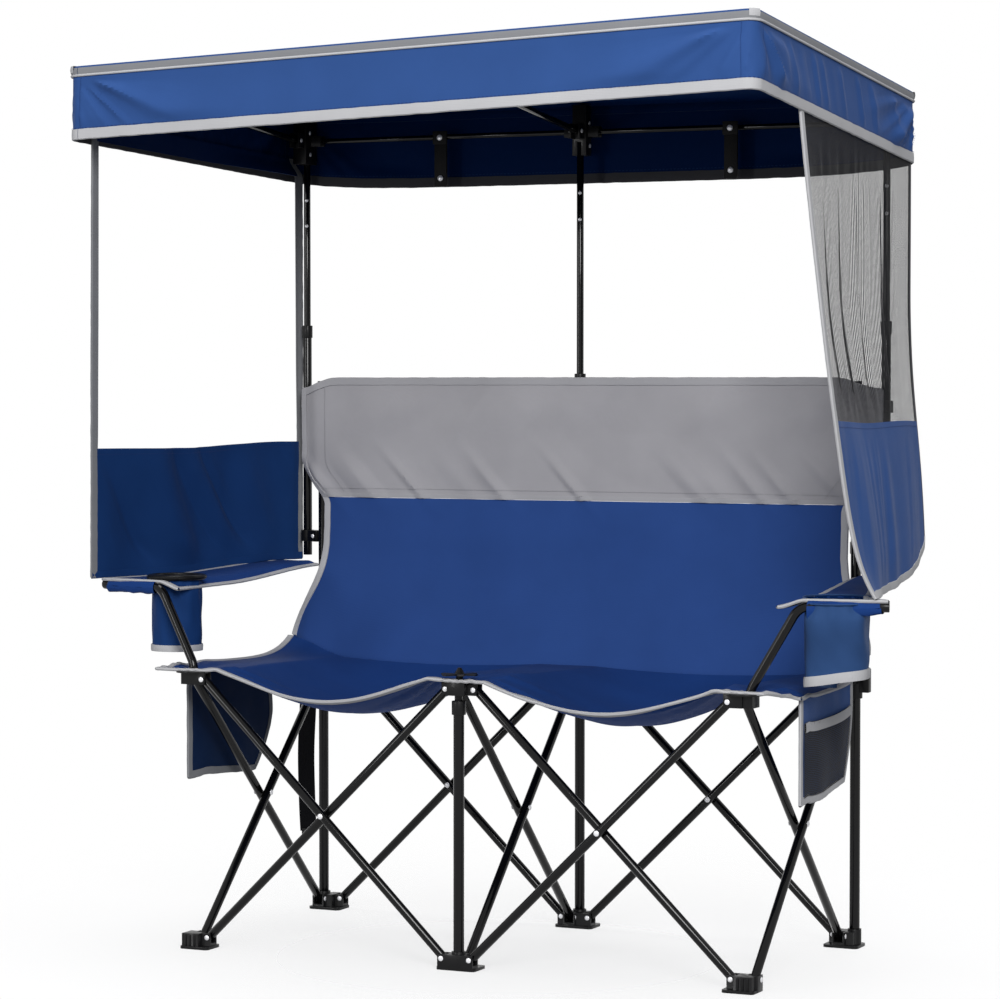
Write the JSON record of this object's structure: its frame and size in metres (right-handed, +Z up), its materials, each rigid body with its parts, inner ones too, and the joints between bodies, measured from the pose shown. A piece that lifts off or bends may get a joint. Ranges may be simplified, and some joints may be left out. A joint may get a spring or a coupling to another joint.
{
  "type": "folding camping loveseat with canopy",
  "caption": "Folding two-seat camping chair with a scissor leg frame, sling seat and back, armrests with cup holder and cool bag, side curtains and a tilting sun canopy on telescoping posts.",
  "frame": {"origin": "middle of the bounding box, on the ground under the feet", "axes": "+Z up, +X to the image right of the chair, the chair faces -Y"},
  "size_m": [1.5304, 0.817, 1.6254],
  "materials": {
    "black_steel": "satin powder coat",
    "black_plastic": "moulded, slightly rough",
    "blue_fabric": "woven polyester",
    "grey_fabric": "woven polyester",
    "black_webbing": "woven webbing"
  },
  "bodies": {
    "rear_centre_column": {"rear_centre_foot": "black_plastic", "rear_centre_upright": "black_steel", "back_panel": "blue_fabric", "back_top_panel": "grey_fabric"},
    "rear_left_first_leg": {"rear_left_first_leg": "black_steel"},
    "rear_left_second_leg": {"rear_left_second_leg": "black_steel"},
    "rear_left_column": {"rear_left_foot": "black_plastic", "rear_left_upright": "black_steel", "left_canopy_post": "black_steel"},
    "rear_left_slider": {"rear_left_slider": "black_plastic", "storage_strap": "black_webbing"},
    "rear_right_first_leg": {"rear_right_first_leg": "black_steel"},
    "rear_right_second_leg": {"rear_right_second_leg": "black_steel"},
    "rear_right_column": {"rear_right_foot": "black_plastic", "rear_right_upright": "black_steel", "right_canopy_post": "black_steel"},
    "rear_right_slider": {"rear_right_slider": "black_plastic"},
    "centre_first_leg": {"centre_first_leg": "black_steel"},
    "centre_second_leg": {"centre_second_leg": "black_steel"},
    "front_centre_column": {"front_centre_foot": "black_plastic", "front_post": "black_steel"},
    "front_centre_hub": {"front_centre_hub": "black_plastic"},
    "rear_centre_slider": {"rear_centre_slider": "black_plastic"},
    "left_side_first_leg": {"left_side_first_leg": "black_steel"},
    "left_side_second_leg": {"left_side_second_leg": "black_steel"},
    "front_left_foot": {"front_left_foot": "black_plastic"},
    "front_left_hub": {"front_left_hub": "black_plastic", "left_arm_tube": "black_steel", "cup_holder": "blue_fabric", "left_pocket": "blue_fabric"},
    "front_left_first_leg": {"front_left_first_leg": "black_steel"},
    "front_left_second_leg": {"front_left_second_leg": "black_steel"},
    "right_side_first_leg": {"right_side_first_leg": "black_steel"},
    "right_side_second_leg": {"right_side_second_leg": "black_steel"},
    "front_right_foot": {"front_right_foot": "black_plastic"},
    "front_right_hub": {"front_right_hub": "black_plastic", "right_arm_tube": "black_steel", "cool_bag": "blue_fabric", "right_pocket": "blue_fabric"},
    "front_right_first_leg": {"front_right_first_leg": "black_steel"},
    "front_right_second_leg": {"front_right_second_leg": "black_steel"},
    "seat": {"seat_panel": "blue_fabric"},
    "left_armrest": {"left_armrest": "blue_fabric"},
    "right_armrest": {"right_armrest": "blue_fabric"},
    "centre_canopy_pole": {"centre_canopy_pole": "black_steel", "centre_canopy_hub": "black_plastic"},
    "left_canopy_pole": {"left_canopy_pole": "black_steel", "left_canopy_hub": "black_plastic", "left_side_curtain": "blue_fabric"},
    "right_canopy_pole": {"right_canopy_pole": "black_steel", "right_canopy_hub": "black_plastic", "right_side_curtain": "blue_fabric"},
    "centre_canopy_arm": {"centre_canopy_arm": "black_steel", "canopy": "blue_fabric"},
    "left_canopy_arm": {"left_canopy_arm": "black_steel"},
    "right_canopy_arm": {"right_canopy_arm": "black_steel"},
    "left_inner_strut": {"left_inner_strut": "black_steel"},
    "left_outer_strut": {"left_outer_strut": "black_steel"},
    "right_inner_strut": {"right_inner_strut": "black_steel"},
    "right_outer_strut": {"right_outer_strut": "black_steel"}
  },
  "joints": [
    {"name": "frame_fold", "type": "hinge", "parent": "rear_centre_column", "child": "rear_left_first_leg", "pos_m": [-0.027, 0.3465, 0.02], "axis": [0, 1, 0], "range_deg": [0, 38.5], "deforming": ["seat_panel", "back_panel", "back_top_panel", "left_armrest", "right_armrest", "left_pocket", "right_pocket", "canopy", "left_side_curtain", "right_side_curtain"]},
    {"name": "rear_left_rivet", "type": "hinge", "parent": "rear_left_first_leg", "child": "rear_left_second_leg", "pos_m": [-0.268, 0.3555, 0.256], "axis": [0, -1, 0], "range_deg": [0, 77.2]},
    {"name": "rear_left_foot_pin", "type": "hinge", "parent": "rear_left_second_leg", "child": "rear_left_column", "pos_m": [-0.509, 0.3645, 0.02], "axis": [0, 1, 0], "range_deg": [0, 38.7]},
    {"name": "rear_left_slider_pin", "type": "hinge", "parent": "rear_left_first_leg", "child": "rear_left_slider", "pos_m": [-0.509, 0.3465, 0.492], "axis": [0, -1, 0], "range_deg": [0, 38.7]},
    {"name": "rear_right_first_leg_pin", "type": "hinge", "parent": "rear_centre_column", "child": "rear_right_first_leg", "pos_m": [0.027, 0.3465, 0.02], "axis": [0, -1, 0], "range_deg": [0, 38.7]},
    {"name": "rear_right_rivet", "type": "hinge", "parent": "rear_right_first_leg", "child": "rear_right_second_leg", "pos_m": [0.268, 0.3555, 0.256], "axis": [0, 1, 0], "range_deg": [0, 77.2]},
    {"name": "rear_right_foot_pin", "type": "hinge", "parent": "rear_right_second_leg", "child": "rear_right_column", "pos_m": [0.509, 0.3645, 0.02], "axis": [0, -1, 0], "range_deg": [0, 38.7]},
    {"name": "rear_right_slider_pin", "type": "hinge", "parent": "rear_right_first_leg", "child": "rear_right_slider", "pos_m": [0.509, 0.3465, 0.492], "axis": [0, 1, 0], "range_deg": [0, 38.7]},
    {"name": "centre_first_leg_pin", "type": "hinge", "parent": "rear_centre_column", "child": "centre_first_leg", "pos_m": [-0.009, 0.3375, 0.02], "axis": [-1, 0, 0], "range_deg": [0, 38.7]},
    {"name": "centre_rivet", "type": "hinge", "parent": "centre_first_leg", "child": "centre_second_leg", "pos_m": [0, 0.0965, 0.256], "axis": [1, 0, 0], "range_deg": [0, 77.2]},
    {"name": "front_centre_foot_pin", "type": "hinge", "parent": "centre_second_leg", "child": "front_centre_column", "pos_m": [0.009, -0.1445, 0.02], "axis": [-1, 0, 0], "range_deg": [0, 38.7]},
    {"name": "front_centre_hub_pin", "type": "hinge", "parent": "centre_first_leg", "child": "front_centre_hub", "pos_m": [-0.009, -0.1445, 0.492], "axis": [1, 0, 0], "range_deg": [0, 38.7]},
    {"name": "rear_centre_slider_pin", "type": "hinge", "parent": "centre_second_leg", "child": "rear_centre_slider", "pos_m": [0.009, 0.3375, 0.492], "axis": [-1, 0, 0], "range_deg": [0, 38.7]},
    {"name": "left_side_first_leg_pin", "type": "hinge", "parent": "rear_left_column", "child": "left_side_first_leg", "pos_m": [-0.545, 0.3375, 0.02], "axis": [-1, 0, 0], "range_deg": [0, 38.7]},
    {"name": "left_side_rivet", "type": "hinge", "parent": "left_side_first_leg", "child": "left_side_second_leg", "pos_m": [-0.536, 0.0965, 0.256], "axis": [1, 0, 0], "range_deg": [0, 77.2]},
    {"name": "front_left_foot_pin", "type": "hinge", "parent": "left_side_second_leg", "child": "front_left_foot", "pos_m": [-0.527, -0.1445, 0.02], "axis": [-1, 0, 0], "range_deg": [0, 38.7]},
    {"name": "front_left_hub_pin", "type": "hinge", "parent": "left_side_first_leg", "child": "front_left_hub", "pos_m": [-0.545, -0.1445, 0.492], "axis": [1, 0, 0], "range_deg": [0, 38.7]},
    {"name": "front_left_first_leg_pin", "type": "hinge", "parent": "front_centre_column", "child": "front_left_first_leg", "pos_m": [-0.027, -0.1715, 0.02], "axis": [0, 1, 0], "range_deg": [0, 38.7]},
    {"name": "front_left_rivet", "type": "hinge", "parent": "front_left_first_leg", "child": "front_left_second_leg", "pos_m": [-0.268, -0.1625, 0.256], "axis": [0, -1, 0], "range_deg": [0, 77.2]},
    {"name": "right_side_first_leg_pin", "type": "hinge", "parent": "rear_right_column", "child": "right_side_first_leg", "pos_m": [0.527, 0.3375, 0.02], "axis": [-1, 0, 0], "range_deg": [0, 38.7]},
    {"name": "right_side_rivet", "type": "hinge", "parent": "right_side_first_leg", "child": "right_side_second_leg", "pos_m": [0.536, 0.0965, 0.256], "axis": [1, 0, 0], "range_deg": [0, 77.2]},
    {"name": "front_right_foot_pin", "type": "hinge", "parent": "right_side_second_leg", "child": "front_right_foot", "pos_m": [0.545, -0.1445, 0.02], "axis": [-1, 0, 0], "range_deg": [0, 38.7]},
    {"name": "front_right_hub_pin", "type": "hinge", "parent": "right_side_first_leg", "child": "front_right_hub", "pos_m": [0.527, -0.1445, 0.492], "axis": [1, 0, 0], "range_deg": [0, 38.7]},
    {"name": "front_right_first_leg_pin", "type": "hinge", "parent": "front_centre_column", "child": "front_right_first_leg", "pos_m": [0.027, -0.1715, 0.02], "axis": [0, -1, 0], "range_deg": [0, 38.7]},
    {"name": "front_right_rivet", "type": "hinge", "parent": "front_right_first_leg", "child": "front_right_second_leg", "pos_m": [0.268, -0.1625, 0.256], "axis": [0, 1, 0], "range_deg": [0, 77.2]},
    {"name": "seat_fold", "type": "hinge", "parent": "rear_centre_column", "child": "seat", "pos_m": [0, 0.2965, 0.5], "axis": [-1, 0, 0], "range_deg": [0, 73.77]},
    {"name": "left_armrest_fold", "type": "hinge", "parent": "rear_left_column", "child": "left_armrest", "pos_m": [-0.59, 0.349, 0.6693], "axis": [-1, 0, 0], "range_deg": [0, 59.67]},
    {"name": "right_armrest_fold", "type": "hinge", "parent": "rear_right_column", "child": "right_armrest", "pos_m": [0.59, 0.349, 0.6693], "axis": [-1, 0, 0], "range_deg": [0, 59.67]},
    {"name": "canopy_height", "type": "slide", "parent": "rear_centre_column", "child": "centre_canopy_pole", "axis": [0, 0, -1], "range_m": [0, 0.1], "deforming": ["left_side_curtain", "right_side_curtain"]},
    {"name": "left_canopy_height", "type": "slide", "parent": "rear_left_column", "child": "left_canopy_pole", "axis": [0, 0, -1], "range_m": [0, 0.101]},
    {"name": "right_canopy_height", "type": "slide", "parent": "rear_right_column", "child": "right_canopy_pole", "axis": [0, 0, -1], "range_m": [0, 0.101]},
    {"name": "canopy_tilt", "type": "hinge", "parent": "centre_canopy_pole", "child": "centre_canopy_arm", "pos_m": [0, 0.3405, 1.5], "axis": [1, 0, 0], "range_deg": [0, 60], "deforming": ["canopy", "left_side_curtain", "right_side_curtain"]},
    {"name": "left_canopy_tilt", "type": "hinge", "parent": "left_canopy_pole", "child": "left_canopy_arm", "pos_m": [-0.596, 0.3405, 1.5], "axis": [1, 0, 0], "range_deg": [0, 60.2]},
    {"name": "right_canopy_tilt", "type": "hinge", "parent": "right_canopy_pole", "child": "right_canopy_arm", "pos_m": [0.596, 0.3405, 1.5], "axis": [1, 0, 0], "range_deg": [0, 60.2]},
    {"name": "left_inner_strut_fold", "type": "hinge", "parent": "centre_canopy_pole", "child": "left_inner_strut", "pos_m": [-0.027, 0.3745, 1.5], "axis": [0, -1, 0], "range_deg": [0, 74.86]},
    {"name": "left_outer_strut_fold", "type": "hinge", "parent": "left_canopy_pole", "child": "left_outer_strut", "pos_m": [-0.569, 0.3865, 1.5], "axis": [0, 1, 0], "range_deg": [0, 74.86]},
    {"name": "right_inner_strut_fold", "type": "hinge", "parent": "centre_canopy_pole", "child": "right_inner_strut", "pos_m": [0.027, 0.3745, 1.5], "axis": [0, 1, 0], "range_deg": [0, 74.86]},
    {"name": "right_outer_strut_fold", "type": "hinge", "parent": "right_canopy_pole", "child": "right_outer_strut", "pos_m": [0.569, 0.3865, 1.5], "axis": [0, -1, 0], "range_deg": [0, 74.86]}
  ],
  "couplings": [
    {"joint": "rear_left_rivet", "follows": "frame_fold", "ratio": 2},
    {"joint": "rear_left_foot_pin", "follows": "frame_fold", "ratio": 1},
    {"joint": "rear_left_slider_pin", "follows": "frame_fold", "ratio": 1},
    {"joint": "rear_right_first_leg_pin", "follows": "frame_fold", "ratio": 1},
    {"joint": "rear_right_rivet", "follows": "frame_fold", "ratio": 2},
    {"joint": "rear_right_foot_pin", "follows": "frame_fold", "ratio": 1},
    {"joint": "rear_right_slider_pin", "follows": "frame_fold", "ratio": 1},
    {"joint": "centre_first_leg_pin", "follows": "frame_fold", "ratio": 1},
    {"joint": "centre_rivet", "follows": "frame_fold", "ratio": 2},
    {"joint": "front_centre_foot_pin", "follows": "frame_fold", "ratio": 1},
    {"joint": "front_centre_hub_pin", "follows": "frame_fold", "ratio": 1},
    {"joint": "rear_centre_slider_pin", "follows": "frame_fold", "ratio": 1},
    {"joint": "left_side_first_leg_pin", "follows": "frame_fold", "ratio": 1},
    {"joint": "left_side_rivet", "follows": "frame_fold", "ratio": 2},
    {"joint": "front_left_foot_pin", "follows": "frame_fold", "ratio": 1},
    {"joint": "front_left_hub_pin", "follows": "frame_fold", "ratio": 1},
    {"joint": "front_left_first_leg_pin", "follows": "frame_fold", "ratio": 1},
    {"joint": "front_left_rivet", "follows": "frame_fold", "ratio": 2},
    {"joint": "right_side_first_leg_pin", "follows": "frame_fold", "ratio": 1},
    {"joint": "right_side_rivet", "follows": "frame_fold", "ratio": 2},
    {"joint": "front_right_foot_pin", "follows": "frame_fold", "ratio": 1},
    {"joint": "front_right_hub_pin", "follows": "frame_fold", "ratio": 1},
    {"joint": "front_right_first_leg_pin", "follows": "frame_fold", "ratio": 1},
    {"joint": "front_right_rivet", "follows": "frame_fold", "ratio": 2},
    {"joint": "seat_fold", "follows": "frame_fold", "ratio": 1.9108},
    {"joint": "left_armrest_fold", "follows": "frame_fold", "ratio": 1.5448},
    {"joint": "right_armrest_fold", "follows": "frame_fold", "ratio": 1.5448},
    {"joint": "left_canopy_height", "follows": "canopy_height", "ratio": 1},
    {"joint": "right_canopy_height", "follows": "canopy_height", "ratio": 1},
    {"joint": "left_canopy_tilt", "follows": "canopy_tilt", "ratio": 1},
    {"joint": "right_canopy_tilt", "follows": "canopy_tilt", "ratio": 1},
    {"joint": "left_inner_strut_fold", "follows": "frame_fold", "ratio": 1.9392},
    {"joint": "left_outer_strut_fold", "follows": "frame_fold", "ratio": 1.9392},
    {"joint": "right_inner_strut_fold", "follows": "frame_fold", "ratio": 1.9392},
    {"joint": "right_outer_strut_fold", "follows": "frame_fold", "ratio": 1.9392}
  ]
}
